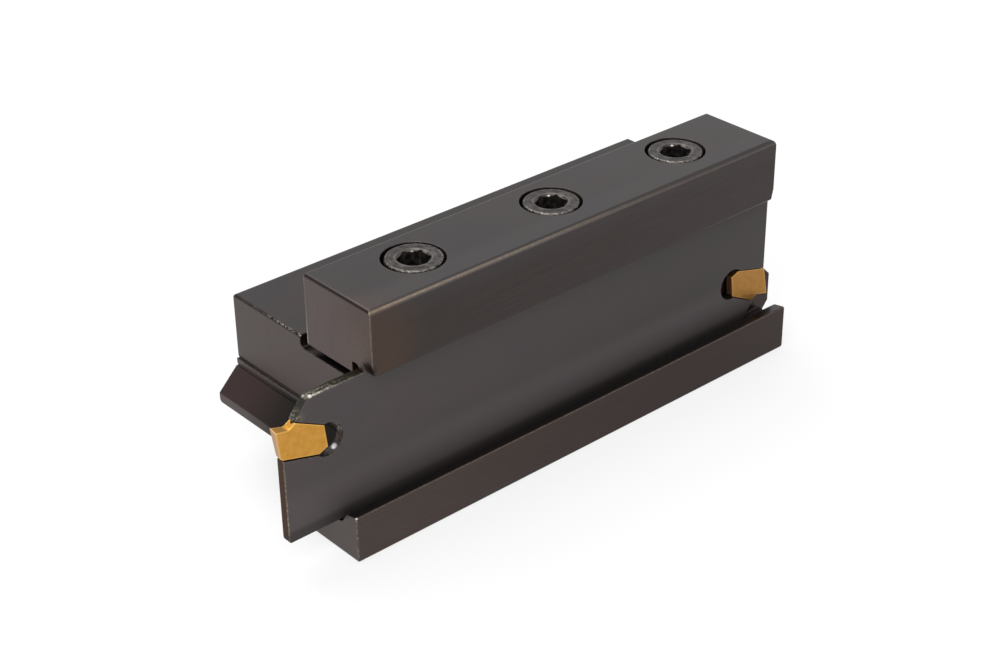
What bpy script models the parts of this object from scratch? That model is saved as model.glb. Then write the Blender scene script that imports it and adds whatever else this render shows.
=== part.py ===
# Parting-off tool holder: a shanked tool block with a clamp bar, three socket head screws
# and a double-ended parting blade that carries one insert in each end.
#
# Metres, +Z up. X runs along the blade and Y from the jaw to the back of the shank. The
# origin lies on the underside of the foot, in the plane of the blade's front face and
# midway along the clamp bar.

import math

import bmesh
import bpy
from mathutils import Matrix, Vector

# Blade
BLADE_LENGTH = 0.110
BLADE_HEIGHT = 0.025  # of the front face, without the ridges of its two edges
BLADE_THICKNESS = 0.0017
BLADE_EDGE_ANGLE = math.radians(15)  # of the two bevels that meet in each ridge
BLADE_CORNER = 0.0010
RIDGE_MARGIN = 0.0001  # of the blade's front view past the crests of its ridges
BLADE_STICK_OUT = 0.0101  # of the blade's left end past the block's nose
BLADE_SEAT_HEIGHT = 0.0065  # of the blade's lower edge above the underside of the foot
BLADE_JAW_BACK = 0.0055  # of the upper jaw's top corner behind the blade's end
BEAK_ANGLE = math.radians(49)  # of the upper jaw's slanted front

# Insert and the pocket that grips it
INSERT_OVERHANG = 0.0011  # of the cutting edge past the blade's end
CUTTING_DROP = 0.0038  # of the cutting edge below the blade's upper edge
CUTTING_WIDTH = 0.0020
INSERT_BODY_WIDTH = 0.0014
INSERT_SIDE_RELIEF = math.radians(3.5)
INSERT_LENGTH = 0.0099
INSERT_FRONT_HEIGHT = 0.0051
INSERT_FRONT_RELIEF = math.radians(7)
INSERT_LEAD_ANGLE = math.radians(8)  # by which the cutting edge leads at its front side
INSERT_HEEL_CHAMFER = 0.0006
INSERT_SEAT_ANGLE = math.radians(15)
INSERT_TOP_ANGLE = math.radians(27)
INSERT_REAR_LEAN = math.radians(7)
INSERT_REAR_CUT = 0.0019  # of the slanted corner between the insert's seat and its rear
INSERT_REAR_CUT_HEIGHT = 0.0012
CHIP_GROOVE_LENGTH = 0.00385  # from the cutting edge back to the peak
CHIP_GROOVE_BOTTOM = 0.0026  # of the groove's lowest line behind the cutting edge
CHIP_GROOVE_DEPTH = 0.0006  # of that line below the cutting edge
CHIP_GROOVE_RADIUS = 0.0010
PEAK_RISE = 0.0002  # of the peak above the cutting edge
RIDGE_WIDTH = 0.0007  # of the vee ridges on the pocket's floor and roof
RIDGE_HEIGHT = 0.00045
RELIEF_HOLE_RADIUS = 0.0030
RELIEF_HOLE_SETBACK = 0.0002  # of the relief hole's centre in front of the insert's rear

# Clamp bar
CLAMP_LENGTH = 0.0924
CLAMP_DEPTH = 0.01705
CLAMP_HEIGHT = 0.0129
CLAMP_LIP_REACH = 0.00265  # of the lip in front of the blade's front face
CLAMP_GAP = 0.0013  # left open over the block's seat while the bar bears on the blade
CLAMP_FRONT_RADIUS = 0.0010
CLAMP_EDGE = 0.0004
CLAMP_END_RADIUS = 0.0007
GROOVE_RELIEF = 0.0005  # above and behind the face that bears on the blade's upper bevel
LIP_CUT = 0.0005  # of the slanted relief at each lower corner of the lip
LIP_CUT_HEIGHT = 0.0022

# Screws: M6 by 20 socket head cap screws
SCREW_COUNT = 3
SCREW_SPACING = 0.0299
SCREW_OFFSET = 0.0048  # of their axes behind the wall that backs the blade
SCREW_RADIUS = 0.0030
SCREW_LENGTH = 0.020
SCREW_TIP_CHAMFER = 0.0005
HEAD_RADIUS = 0.0051
HEAD_HEIGHT = 0.0060
HEAD_SINK = 0.0001
HEAD_CHAMFER = 0.0005
SOCKET_WIDTH = 0.0050
SOCKET_DEPTH = 0.0030
COUNTERBORE_RADIUS = 0.0054
TAP_RUN_OUT = 0.0025
DRILL_POINT_SLOPE = math.radians(31)

# Block
BLOCK_LENGTH = 0.104  # from nose to nose
SHANK_LENGTH = 0.1016
UPPER_LENGTH = 0.0927  # between the milled end faces
WALL_THICKNESS = 0.0138
SHANK_DEPTH = 0.0193
SHANK_HEIGHT = 0.01945
BLADE_STAND = 0.00225  # of the blade's upper edge above the clamp's seat
STEP_HEIGHT = 0.0022  # of the block's top above the clamp's seat
STEP_GAP = 0.0018  # behind the clamp bar
STEP_RADIUS = 0.0007
JAW_REACH = 0.0042  # of the jaw in front of the blade's front face
JAW_HEIGHT = 0.00225  # of the jaw's front edge above the blade's lower edge
JAW_CREST_REACH = 0.0016
JAW_CREST_HEIGHT = 0.0018
JAW_CREST_RADIUS = 0.0009
RIGHT_CUT = 0.0023  # by which the jaw and the foot stop short of the right nose
RIGHT_CUT_HEIGHT = 0.0027  # over which the right nose slants in to the foot
NOSE_FACE_LOW = 0.0069  # lower end of the right nose's upright face
NOSE_ANGLE = math.radians(45)
END_FACE_HEIGHT = 0.01235
END_STRIP_HEIGHT = 0.0012  # of the narrow band under each milled end face
END_STRIP_STEP = 0.00035
BLOCK_EDGE = 0.0007
BLOCK_END_EDGE = 0.0006
FOOT_EDGE = 0.0004
FOOT_END_EDGE = 0.0005
SMALL_EDGE = 0.0003
INNER_RADIUS = 0.0010

# Fits and facets
SEAT_CLEARANCE = 0.0003  # between pieces that bear on each other
POCKET_CLEARANCE = 0.0002  # between an insert and its pocket
CUT_MARGIN = 0.0010  # of a cutter past the face that it opens
ROUND_STEPS = 40
CORNER_STEPS = 5
ARC_SHARE = 0.45  # of a side, the most that one corner's arc takes
WELD_DISTANCE = 1e-6

# Heights and depths that follow from the sizes
BLADE_LEFT = -BLOCK_LENGTH / 2 - BLADE_STICK_OUT
BLADE_MIDDLE = BLADE_THICKNESS / 2
BLADE_RIDGE = BLADE_MIDDLE * math.tan(BLADE_EDGE_ANGLE)
BLADE_TOP = BLADE_SEAT_HEIGHT + BLADE_HEIGHT
BEVEL_CLEARANCE = SEAT_CLEARANCE / math.cos(BLADE_EDGE_ANGLE)
BEVEL_DROP = SEAT_CLEARANCE * math.tan(BLADE_EDGE_ANGLE)
WALL_FRONT = BLADE_THICKNESS + SEAT_CLEARANCE
WALL_BACK = WALL_FRONT + WALL_THICKNESS
SHANK_BACK = WALL_BACK + SHANK_DEPTH
CLAMP_SEAT = BLADE_TOP - BLADE_STAND
BLOCK_TOP = CLAMP_SEAT + STEP_HEIGHT
SHANK_BOTTOM = BLOCK_TOP - SHANK_HEIGHT
CLAMP_BACK = CLAMP_DEPTH - CLAMP_LIP_REACH
CLAMP_BOTTOM = CLAMP_SEAT + CLAMP_GAP
CLAMP_TOP = CLAMP_BOTTOM + CLAMP_HEIGHT
SCREW_Y = WALL_FRONT + SCREW_OFFSET
HEAD_BOTTOM = CLAMP_TOP - HEAD_SINK - HEAD_HEIGHT
SCREW_PLACES = [(index - (SCREW_COUNT - 1) / 2) * SCREW_SPACING for index in range(SCREW_COUNT)]

# Turns that stand a flat outline up: its plane becomes world YZ, or world XZ
ACROSS = Matrix(((0, 0, 1, 0), (1, 0, 0, 0), (0, 1, 0, 0), (0, 0, 0, 1)))
ALONG = Matrix(((1, 0, 0, 0), (0, 0, -1, 0), (0, 1, 0, 0), (0, 0, 0, 1)))


def new_collection(name):
    collection = bpy.data.collections.new(name)
    bpy.context.scene.collection.children.link(collection)
    return collection


def rounded(corners):
    """Outline points from corners (across, up, radius), with an arc for each radius."""
    points = []
    for index, (across, up, radius) in enumerate(corners):
        here = Vector((across, up))
        to_last = Vector(corners[index - 1][:2]) - here
        to_next = Vector(corners[(index + 1) % len(corners)][:2]) - here
        if radius == 0:
            points.append(tuple(here))
            continue
        half = to_last.angle(to_next) / 2
        room = min(to_last.length, to_next.length) * ARC_SHARE
        reach = min(radius / math.tan(half), room)
        start = to_last.normalized() * reach
        end = to_next.normalized() * reach
        centre = (start + end) / (2 * math.cos(half) ** 2)
        arm = start - centre
        sweep = math.atan2(arm.cross(end - centre), arm.dot(end - centre))
        for step in range(CORNER_STEPS + 1):
            turn = Matrix.Rotation(sweep * step / CORNER_STEPS, 2)
            points.append(tuple(here + centre + turn @ arm))
    return points


def extruded(name, outline, thickness, placement, collection):
    """A closed solid: the outline as a filled flat curve, thickened both ways."""
    curve = bpy.data.curves.new(name, "CURVE")
    curve.dimensions = "2D"
    curve.fill_mode = "BOTH"
    curve.extrude = thickness / 2
    spline = curve.splines.new("POLY")
    spline.points.add(len(outline) - 1)
    for point, (across, up) in zip(spline.points, outline):
        point.co = (across, up, 0, 1)
    spline.use_cyclic_u = True
    flat = bpy.data.objects.new(name + "_outline", curve)
    flat.matrix_world = placement
    collection.objects.link(flat)
    solid = as_mesh(flat, name, collection)
    bpy.data.curves.remove(curve)
    return solid


def as_mesh(source, name, collection):
    """Replace an object by the mesh that it evaluates to, welded and facing out."""
    bpy.context.view_layer.update()
    evaluated = source.evaluated_get(bpy.context.evaluated_depsgraph_get())
    mesh = bpy.data.meshes.new_from_object(evaluated)
    mesh.name = name
    shape = bmesh.new()
    shape.from_mesh(mesh)
    bmesh.ops.remove_doubles(shape, verts=shape.verts, dist=WELD_DISTANCE)
    bmesh.ops.recalc_face_normals(shape, faces=shape.faces)
    shape.to_mesh(mesh)
    shape.free()
    solid = bpy.data.objects.new(name, mesh)
    solid.matrix_world = source.matrix_world
    bpy.data.objects.remove(source)
    collection.objects.link(solid)
    return solid


def turned(name, profile, collection):
    """A solid of revolution about its own Z. The profile runs down its outer side."""
    mesh = bpy.data.meshes.new(name)
    links = [(index, index + 1) for index in range(len(profile) - 1)]
    mesh.from_pydata([(radius, 0, up) for radius, up in profile], links, [])
    solid = bpy.data.objects.new(name, mesh)
    collection.objects.link(solid)
    turn = solid.modifiers.new("Turn", "SCREW")
    turn.axis = "Z"
    turn.steps = ROUND_STEPS
    turn.render_steps = ROUND_STEPS
    turn.use_merge_vertices = True
    turn.merge_threshold = WELD_DISTANCE
    turn.use_smooth_shade = True
    return solid


def box(name, low, high, collection):
    """A plain box between two corners."""
    low, high = Vector(low), Vector(high)
    shape = bmesh.new()
    bmesh.ops.create_cube(shape, size=1)
    bmesh.ops.transform(shape, matrix=Matrix.Diagonal((*(high - low), 1)), verts=shape.verts)
    mesh = bpy.data.meshes.new(name)
    shape.to_mesh(mesh)
    shape.free()
    solid = bpy.data.objects.new(name, mesh)
    solid.location = (low + high) / 2
    collection.objects.link(solid)
    return solid


def combine(solid, tool, operation):
    """Cut a solid with a tool, or keep what the two share."""
    step = solid.modifiers.new(tool.name, "BOOLEAN")
    step.operation = operation
    step.object = tool
    tool.hide_render = True
    tool.display_type = "WIRE"


def finish(name, colour, roughness, metallic):
    material = bpy.data.materials.new(name)
    material.use_nodes = True
    shader = material.node_tree.nodes["Principled BSDF"]
    shader.inputs["Base Color"].default_value = (*colour, 1)
    shader.inputs["Roughness"].default_value = roughness
    shader.inputs["Metallic"].default_value = metallic
    return material


def falling_line(start, angle, offset):
    """Height along a line that falls to the right from start, moved out by an offset."""
    lift = offset / math.cos(angle)
    return lambda along: start.y + lift - math.tan(angle) * (along - start.x)


# Insert and pocket, drawn from the blade's left end and its lower edge
CUTTING_EDGE = Vector((-INSERT_OVERHANG, BLADE_HEIGHT - CUTTING_DROP))
PEAK = CUTTING_EDGE + Vector((CHIP_GROOVE_LENGTH, PEAK_RISE))
FLANK_LOW = CUTTING_EDGE + INSERT_FRONT_HEIGHT * Vector((math.tan(INSERT_FRONT_RELIEF), -1))
HEEL = FLANK_LOW + INSERT_HEEL_CHAMFER * Vector((math.sqrt(0.5), -math.sqrt(0.5)))
REAR = CUTTING_EDGE.x + INSERT_LENGTH
RELIEF_CENTRE = REAR - RELIEF_HOLE_SETBACK
BLADE_FRAME = Matrix.Translation((BLADE_LEFT, 0, BLADE_SEAT_HEIGHT))
BLADE_CENTRE = BLADE_FRAME @ Matrix.Translation((BLADE_LENGTH / 2, 0, BLADE_HEIGHT / 2))
HALF_TURN = BLADE_CENTRE @ Matrix.Rotation(math.pi, 4, "Y") @ BLADE_CENTRE.inverted()
pocket_floor = falling_line(HEEL, INSERT_SEAT_ANGLE, -POCKET_CLEARANCE)
pocket_roof = falling_line(PEAK, INSERT_TOP_ANGLE, POCKET_CLEARANCE)


def insert_outline():
    """Front view of the left insert, with the chip groove behind its cutting edge."""
    seat = falling_line(HEEL, INSERT_SEAT_ANGLE, 0)
    top = falling_line(PEAK, INSERT_TOP_ANGLE, 0)
    lean = math.tan(INSERT_REAR_LEAN)
    rear_top = REAR - lean * (top(REAR) - seat(REAR))
    cut_start = REAR - INSERT_REAR_CUT
    cut_end = REAR - lean * INSERT_REAR_CUT_HEIGHT
    groove = CUTTING_EDGE + Vector((CHIP_GROOVE_BOTTOM, -CHIP_GROOVE_DEPTH))
    return rounded([
        (CUTTING_EDGE.x, CUTTING_EDGE.y, 0),
        (FLANK_LOW.x, FLANK_LOW.y, 0),
        (HEEL.x, HEEL.y, 0),
        (cut_start, seat(cut_start), 0),
        (cut_end, seat(REAR) + INSERT_REAR_CUT_HEIGHT, 0),
        (rear_top, top(rear_top), SMALL_EDGE),
        (PEAK.x, PEAK.y, 0),
        (groove.x, groove.y, CHIP_GROOVE_RADIUS),
    ])


def vee_bar(name, line, side, root, clearance, collection):
    """A bar with a vee crest along the pocket's floor (side 1) or its roof (side -1)."""
    start, end = -BLADE_JAW_BACK, RELIEF_CENTRE
    rise = line(end) - line(start)
    length = math.hypot(end - start, rise)
    half = RIDGE_WIDTH / 2 + clearance
    crest = RIDGE_HEIGHT + clearance
    outline = [(-half, -side * root), (half, -side * root), (half, 0), (0, side * crest), (-half, 0)]
    middle = Vector(((start + end) / 2, BLADE_MIDDLE, (line(start) + line(end)) / 2))
    tilt = Matrix.Rotation(-math.atan2(rise, end - start), 4, "Y")
    placement = BLADE_FRAME @ Matrix.Translation(middle) @ tilt @ ACROSS
    return extruded(name, outline, length, placement, collection)


def in_blade(across):
    """Placement of an outline that is drawn from the blade's left end and lower edge."""
    return BLADE_FRAME @ Matrix.Translation((0, across, 0)) @ ALONG


def pocket_tool(cutters):
    """What the pocket takes out of the blade: all but the two ridges that hold the insert."""
    start = -BLADE_JAW_BACK
    end = RELIEF_CENTRE
    outline = [
        (start, pocket_floor(start)),
        (end, pocket_floor(end)),
        (end, pocket_roof(end)),
        (start, pocket_roof(start)),
    ]
    width = BLADE_THICKNESS + 2 * CUT_MARGIN
    tool = extruded("pocket_space", outline, width, in_blade(BLADE_MIDDLE), cutters)
    for name, line, side in (("floor_ridge", pocket_floor, 1), ("roof_ridge", pocket_roof, -1)):
        combine(tool, vee_bar(name, line, side, CUT_MARGIN, 0, cutters), "DIFFERENCE")
    return as_mesh(tool, "pocket_tool", cutters)


def relief_tool(cutters):
    """The round hole at the back of the pocket that lets the upper jaw spring."""
    middle = (pocket_floor(RELIEF_CENTRE) + pocket_roof(RELIEF_CENTRE)) / 2
    reach = BLADE_THICKNESS / 2 + CUT_MARGIN
    profile = [
        (0, reach),
        (RELIEF_HOLE_RADIUS, reach),
        (RELIEF_HOLE_RADIUS, -reach),
        (0, -reach),
    ]
    tool = turned("relief_hole", profile, cutters)
    tool.matrix_world = in_blade(BLADE_MIDDLE) @ Matrix.Translation((RELIEF_CENTRE, middle, 0))
    return as_mesh(tool, "relief_tool", cutters)


def at_other_end(source, name, collection):
    """The same shape half a turn round the blade's middle."""
    copy = bpy.data.objects.new(name, source.data)
    copy.matrix_world = HALF_TURN @ source.matrix_world
    collection.objects.link(copy)
    return copy


def blade_outline():
    """Front view of the blade before its pockets are cut. Both ends are alike."""
    overrun = BLADE_RIDGE + RIDGE_MARGIN
    slope = math.tan(BEAK_ANGLE)
    end = [
        (0, -overrun, BLADE_CORNER),
        (0, BLADE_HEIGHT - slope * BLADE_JAW_BACK, 0),
        (BLADE_JAW_BACK + overrun / slope, BLADE_HEIGHT + overrun, 0),
    ]
    other = [(BLADE_LENGTH - along, BLADE_HEIGHT - up, radius) for along, up, radius in end]
    return rounded(end + other)


def make_blade(parts, cutters):
    """Flat bar with a vee ridge along both edges and a pocket in each end."""
    middle = BLADE_LEFT + BLADE_LENGTH / 2
    section = [
        (0, BLADE_SEAT_HEIGHT),
        (BLADE_MIDDLE, BLADE_SEAT_HEIGHT - BLADE_RIDGE),
        (BLADE_THICKNESS, BLADE_SEAT_HEIGHT),
        (BLADE_THICKNESS, BLADE_TOP),
        (BLADE_MIDDLE, BLADE_TOP + BLADE_RIDGE),
        (0, BLADE_TOP),
    ]
    placement = Matrix.Translation((middle, 0, 0)) @ ACROSS
    blade = extruded("parting_blade", section, BLADE_LENGTH + CUT_MARGIN, placement, parts)
    width = BLADE_THICKNESS + 2 * CUT_MARGIN
    front = extruded("blade_outline", blade_outline(), width, in_blade(BLADE_MIDDLE), cutters)
    combine(blade, front, "INTERSECT")
    for tool in (pocket_tool(cutters), relief_tool(cutters)):
        combine(blade, tool, "DIFFERENCE")
        combine(blade, at_other_end(tool, tool.name + "_right", cutters), "DIFFERENCE")
    return blade


def make_inserts(parts, cutters):
    """The two inserts: a head as wide as the cut, side relief, and a vee groove top and bottom."""
    relief = math.tan(INSERT_SIDE_RELIEF)
    lead = math.tan(INSERT_LEAD_ANGLE)
    body = extruded("insert_body", insert_outline(), CUTTING_WIDTH, in_blade(BLADE_MIDDLE), cutters)
    for vertex in body.data.vertices:
        drop = max(CUTTING_EDGE.y - vertex.co.y, 0)
        half = CUTTING_WIDTH / 2 - relief * (drop + vertex.co.x - CUTTING_EDGE.x)
        vertex.co.z = math.copysign(max(half, INSERT_BODY_WIDTH / 2), vertex.co.z)
        if vertex.co.x < HEEL.x + WELD_DISTANCE:
            vertex.co.x += lead * (CUTTING_WIDTH / 2 - vertex.co.z)
    for name, line, side in (("seat_groove", pocket_floor, 1), ("top_groove", pocket_roof, -1)):
        groove = vee_bar(name, line, side, CUT_MARGIN, POCKET_CLEARANCE, cutters)
        combine(body, groove, "DIFFERENCE")
    front = as_mesh(body, "insert_front", parts)
    return front, at_other_end(front, "insert_rear", parts)


def block_section():
    """Section of the block: foot, jaw with its vee seat, wall, clamp seat and shank."""
    groove_side = BLADE_SEAT_HEIGHT - BEVEL_CLEARANCE + BEVEL_DROP
    groove_floor = BLADE_SEAT_HEIGHT - BLADE_RIDGE - BEVEL_CLEARANCE
    step_wall = CLAMP_BACK + STEP_GAP
    return rounded([
        (-JAW_REACH, 0, FOOT_EDGE),
        (WALL_BACK, 0, FOOT_EDGE),
        (WALL_BACK, SHANK_BOTTOM, INNER_RADIUS),
        (SHANK_BACK, SHANK_BOTTOM, BLOCK_EDGE),
        (SHANK_BACK, BLOCK_TOP, BLOCK_EDGE),
        (step_wall, BLOCK_TOP, SMALL_EDGE),
        (step_wall, CLAMP_SEAT, STEP_RADIUS),
        (WALL_FRONT, CLAMP_SEAT, SMALL_EDGE),
        (WALL_FRONT, groove_side, 0),
        (BLADE_MIDDLE, groove_floor, 0),
        (-SEAT_CLEARANCE, groove_side, 0),
        (-JAW_CREST_REACH, BLADE_SEAT_HEIGHT + JAW_CREST_HEIGHT, JAW_CREST_RADIUS),
        (-JAW_REACH, BLADE_SEAT_HEIGHT + JAW_HEIGHT, SMALL_EDGE),
    ])


def block_side():
    """Front view of the block: milled upper ends, sloping noses and the foot."""
    nose = BLOCK_LENGTH / 2
    upper = UPPER_LENGTH / 2
    strip = upper + END_STRIP_STEP
    face_low = BLOCK_TOP - END_FACE_HEIGHT
    strip_low = face_low - END_STRIP_HEIGHT
    nose_top = strip_low - (nose - strip) * math.tan(NOSE_ANGLE)
    foot_right = nose - RIGHT_CUT
    left = [
        (-upper, BLOCK_TOP, BLOCK_END_EDGE),
        (-upper, face_low, 0),
        (-strip, face_low, 0),
        (-strip, strip_low, 0),
        (-nose, nose_top, SMALL_EDGE),
        (-nose, 0, FOOT_END_EDGE),
    ]
    right = [
        (foot_right, 0, FOOT_END_EDGE),
        (foot_right, NOSE_FACE_LOW - RIGHT_CUT_HEIGHT, 0),
        (nose, NOSE_FACE_LOW, 0),
        (nose, nose_top, SMALL_EDGE),
        (strip, strip_low, 0),
        (strip, face_low, 0),
        (upper, face_low, 0),
        (upper, BLOCK_TOP, BLOCK_END_EDGE),
    ]
    return rounded(left + right)


def tapped_hole(index, place, cutters):
    """A blind hole with a drill point, for one screw."""
    bottom = HEAD_BOTTOM - SCREW_LENGTH - TAP_RUN_OUT
    radius = SCREW_RADIUS + SEAT_CLEARANCE
    point = bottom - radius * math.tan(DRILL_POINT_SLOPE)
    profile = [(0, CLAMP_BOTTOM), (radius, CLAMP_BOTTOM), (radius, bottom), (0, point)]
    hole = turned("tapped_hole_%d" % index, profile, cutters)
    hole.location = (place, SCREW_Y, 0)
    return hole


def make_block(parts, cutters):
    """The section drawn out along X, kept inside the front view, then trimmed and tapped."""
    block = extruded("tool_block", block_section(), BLOCK_LENGTH + CUT_MARGIN, ACROSS, parts)
    depth = JAW_REACH + SHANK_BACK + 2 * CUT_MARGIN
    middle = Matrix.Translation((0, (SHANK_BACK - JAW_REACH) / 2, 0))
    side = extruded("block_side", block_side(), depth, middle @ ALONG, cutters)
    combine(block, side, "INTERSECT")
    jaw_end = BLOCK_LENGTH / 2 - RIGHT_CUT
    shank_end = SHANK_LENGTH / 2
    past = BLOCK_LENGTH / 2 + CUT_MARGIN
    front = -JAW_REACH - CUT_MARGIN
    back = SHANK_BACK + CUT_MARGIN
    high = BLOCK_TOP + CUT_MARGIN
    trims = [
        ("jaw_trim", (jaw_end, front, -CUT_MARGIN), (past, WALL_FRONT, high)),
        ("shank_trim_right", (shank_end, WALL_BACK, 0), (past, back, high)),
        ("shank_trim_left", (-past, WALL_BACK, 0), (-shank_end, back, high)),
    ]
    for name, low, far in trims:
        combine(block, box(name, low, far, cutters), "DIFFERENCE")
    for index, place in enumerate(SCREW_PLACES, 1):
        combine(block, tapped_hole(index, place, cutters), "DIFFERENCE")
    return block


def clamp_section():
    """Section of the clamp bar, with the groove that takes the blade's upper edge."""
    bearing_front = BLADE_TOP + BEVEL_CLEARANCE - BEVEL_DROP
    bearing_back = BLADE_TOP + BLADE_RIDGE + BEVEL_CLEARANCE
    groove_roof = bearing_back + GROOVE_RELIEF
    groove_back = WALL_FRONT + GROOVE_RELIEF
    return rounded([
        (-CLAMP_LIP_REACH, bearing_front, CLAMP_EDGE),
        (-SEAT_CLEARANCE, bearing_front, 0),
        (BLADE_MIDDLE, bearing_back, 0),
        (BLADE_MIDDLE + GROOVE_RELIEF, groove_roof, 0),
        (groove_back, groove_roof, 0),
        (groove_back, CLAMP_BOTTOM, 0),
        (CLAMP_BACK, CLAMP_BOTTOM, CLAMP_EDGE),
        (CLAMP_BACK, CLAMP_TOP, CLAMP_EDGE),
        (-CLAMP_LIP_REACH, CLAMP_TOP, CLAMP_FRONT_RADIUS),
    ])


def lip_trim(end, cutters):
    """The slanted relief at the lip's lower corner, at one end of the bar."""
    low = BLADE_TOP + BEVEL_CLEARANCE - BEVEL_DROP
    slope = LIP_CUT / LIP_CUT_HEIGHT
    half = CLAMP_LENGTH / 2
    outline = [
        (end * (half - LIP_CUT - slope * CUT_MARGIN), low - CUT_MARGIN),
        (end * (half + CUT_MARGIN), low - CUT_MARGIN),
        (end * (half + CUT_MARGIN), low + LIP_CUT_HEIGHT),
        (end * half, low + LIP_CUT_HEIGHT),
    ]
    reach = CLAMP_LIP_REACH - SEAT_CLEARANCE + CUT_MARGIN
    middle = Matrix.Translation((0, -SEAT_CLEARANCE - reach / 2, 0))
    return extruded("lip_trim_%d" % end, outline, reach, middle @ ALONG, cutters)


def screw_hole(index, place, cutters):
    """Counterbore and clearance hole through the clamp bar, as one stepped tool."""
    top = CLAMP_TOP + CUT_MARGIN
    floor = HEAD_BOTTOM - SEAT_CLEARANCE
    bottom = CLAMP_BOTTOM - CUT_MARGIN
    shaft = SCREW_RADIUS + SEAT_CLEARANCE
    profile = [
        (0, top),
        (COUNTERBORE_RADIUS, top),
        (COUNTERBORE_RADIUS, floor),
        (shaft, floor),
        (shaft, bottom),
        (0, bottom),
    ]
    hole = turned("screw_hole_%d" % index, profile, cutters)
    hole.location = (place, SCREW_Y, 0)
    return hole


def make_clamp(parts, cutters):
    """The bar that bears on the blade's upper edge."""
    clamp = extruded("clamp_bar", clamp_section(), CLAMP_LENGTH + CUT_MARGIN, ACROSS, parts)
    half = CLAMP_LENGTH / 2
    ends = rounded([
        (-half, CLAMP_BOTTOM - CUT_MARGIN, 0),
        (half, CLAMP_BOTTOM - CUT_MARGIN, 0),
        (half, CLAMP_TOP, CLAMP_END_RADIUS),
        (-half, CLAMP_TOP, CLAMP_END_RADIUS),
    ])
    middle = Matrix.Translation((0, CLAMP_DEPTH / 2 - CLAMP_LIP_REACH, 0))
    side = extruded("clamp_side", ends, CLAMP_DEPTH + CUT_MARGIN, middle @ ALONG, cutters)
    combine(clamp, side, "INTERSECT")
    for end in (-1, 1):
        combine(clamp, lip_trim(end, cutters), "DIFFERENCE")
    for index, place in enumerate(SCREW_PLACES, 1):
        combine(clamp, screw_hole(index, place, cutters), "DIFFERENCE")
    return clamp


def socket_tool(index, cutters):
    """The hexagon of a screw's socket."""
    corner = SOCKET_WIDTH / math.sqrt(3)
    depth = SOCKET_DEPTH + CUT_MARGIN
    middle = Matrix.Translation((0, 0, HEAD_HEIGHT - SOCKET_DEPTH + depth / 2))
    shape = bmesh.new()
    bmesh.ops.create_cone(
        shape, cap_ends=True, segments=6, radius1=corner, radius2=corner, depth=depth, matrix=middle
    )
    mesh = bpy.data.meshes.new("socket_%d" % index)
    shape.to_mesh(mesh)
    shape.free()
    tool = bpy.data.objects.new(mesh.name, mesh)
    cutters.objects.link(tool)
    return tool


def socket_point(index, cutters):
    """The shallow cone that the drill leaves in the floor of a socket."""
    radius = SOCKET_WIDTH / 2 - SMALL_EDGE
    floor = HEAD_HEIGHT - SOCKET_DEPTH
    drop = radius * math.tan(DRILL_POINT_SLOPE)
    profile = [(0, floor + CUT_MARGIN), (radius, floor + CUT_MARGIN), (radius, floor), (0, floor - drop)]
    return turned("socket_point_%d" % index, profile, cutters)


def make_screw(index, place, parts, cutters):
    """A socket head cap screw. Its origin is on its axis, under the head."""
    profile = [
        (0, HEAD_HEIGHT),
        (HEAD_RADIUS - HEAD_CHAMFER, HEAD_HEIGHT),
        (HEAD_RADIUS, HEAD_HEIGHT - HEAD_CHAMFER),
        (HEAD_RADIUS, 0),
        (SCREW_RADIUS, 0),
        (SCREW_RADIUS, SCREW_TIP_CHAMFER - SCREW_LENGTH),
        (SCREW_RADIUS - SCREW_TIP_CHAMFER, -SCREW_LENGTH),
        (0, -SCREW_LENGTH),
    ]
    screw = turned("clamp_screw_%d" % index, profile, parts)
    for tool in (socket_tool(index, cutters), socket_point(index, cutters)):
        tool.location = (place, SCREW_Y, HEAD_BOTTOM)
        combine(screw, tool, "DIFFERENCE")
    screw.location = (place, SCREW_Y, HEAD_BOTTOM)
    return screw


def carry(parent, pieces):
    """Parent pieces where they stand."""
    bpy.context.view_layer.update()
    for piece in pieces:
        piece.parent = parent
        piece.matrix_parent_inverse = parent.matrix_world.inverted()


def main():
    for old in list(bpy.data.objects):
        bpy.data.objects.remove(old)
    parts = new_collection("parting_tool_holder")
    cutters = new_collection("cutters")
    block = make_block(parts, cutters)
    clamp = make_clamp(parts, cutters)
    blade = make_blade(parts, cutters)
    inserts = make_inserts(parts, cutters)
    screws = [
        make_screw(index, place, parts, cutters) for index, place in enumerate(SCREW_PLACES, 1)
    ]
    looks = [
        (finish("blackened_block_steel", (0.10, 0.085, 0.08), 0.45, 0.6), [block]),
        (finish("blackened_clamp_steel", (0.07, 0.06, 0.055), 0.42, 0.6), [clamp]),
        (finish("blackened_blade_steel", (0.08, 0.07, 0.065), 0.40, 0.7), [blade]),
        (finish("blackened_screw_steel", (0.06, 0.055, 0.055), 0.38, 0.7), screws),
        (finish("gold_coated_carbide", (0.72, 0.44, 0.13), 0.35, 0.8), inserts),
    ]
    for material, pieces in looks:
        for piece in pieces:
            piece.data.materials.clear()
            piece.data.materials.append(material)
    foot_middle = bpy.data.objects.new("foot_middle", None)
    parts.objects.link(foot_middle)
    carry(foot_middle, [block, clamp, blade])
    carry(clamp, screws)
    carry(blade, inserts)


main()
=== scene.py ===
import math

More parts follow.
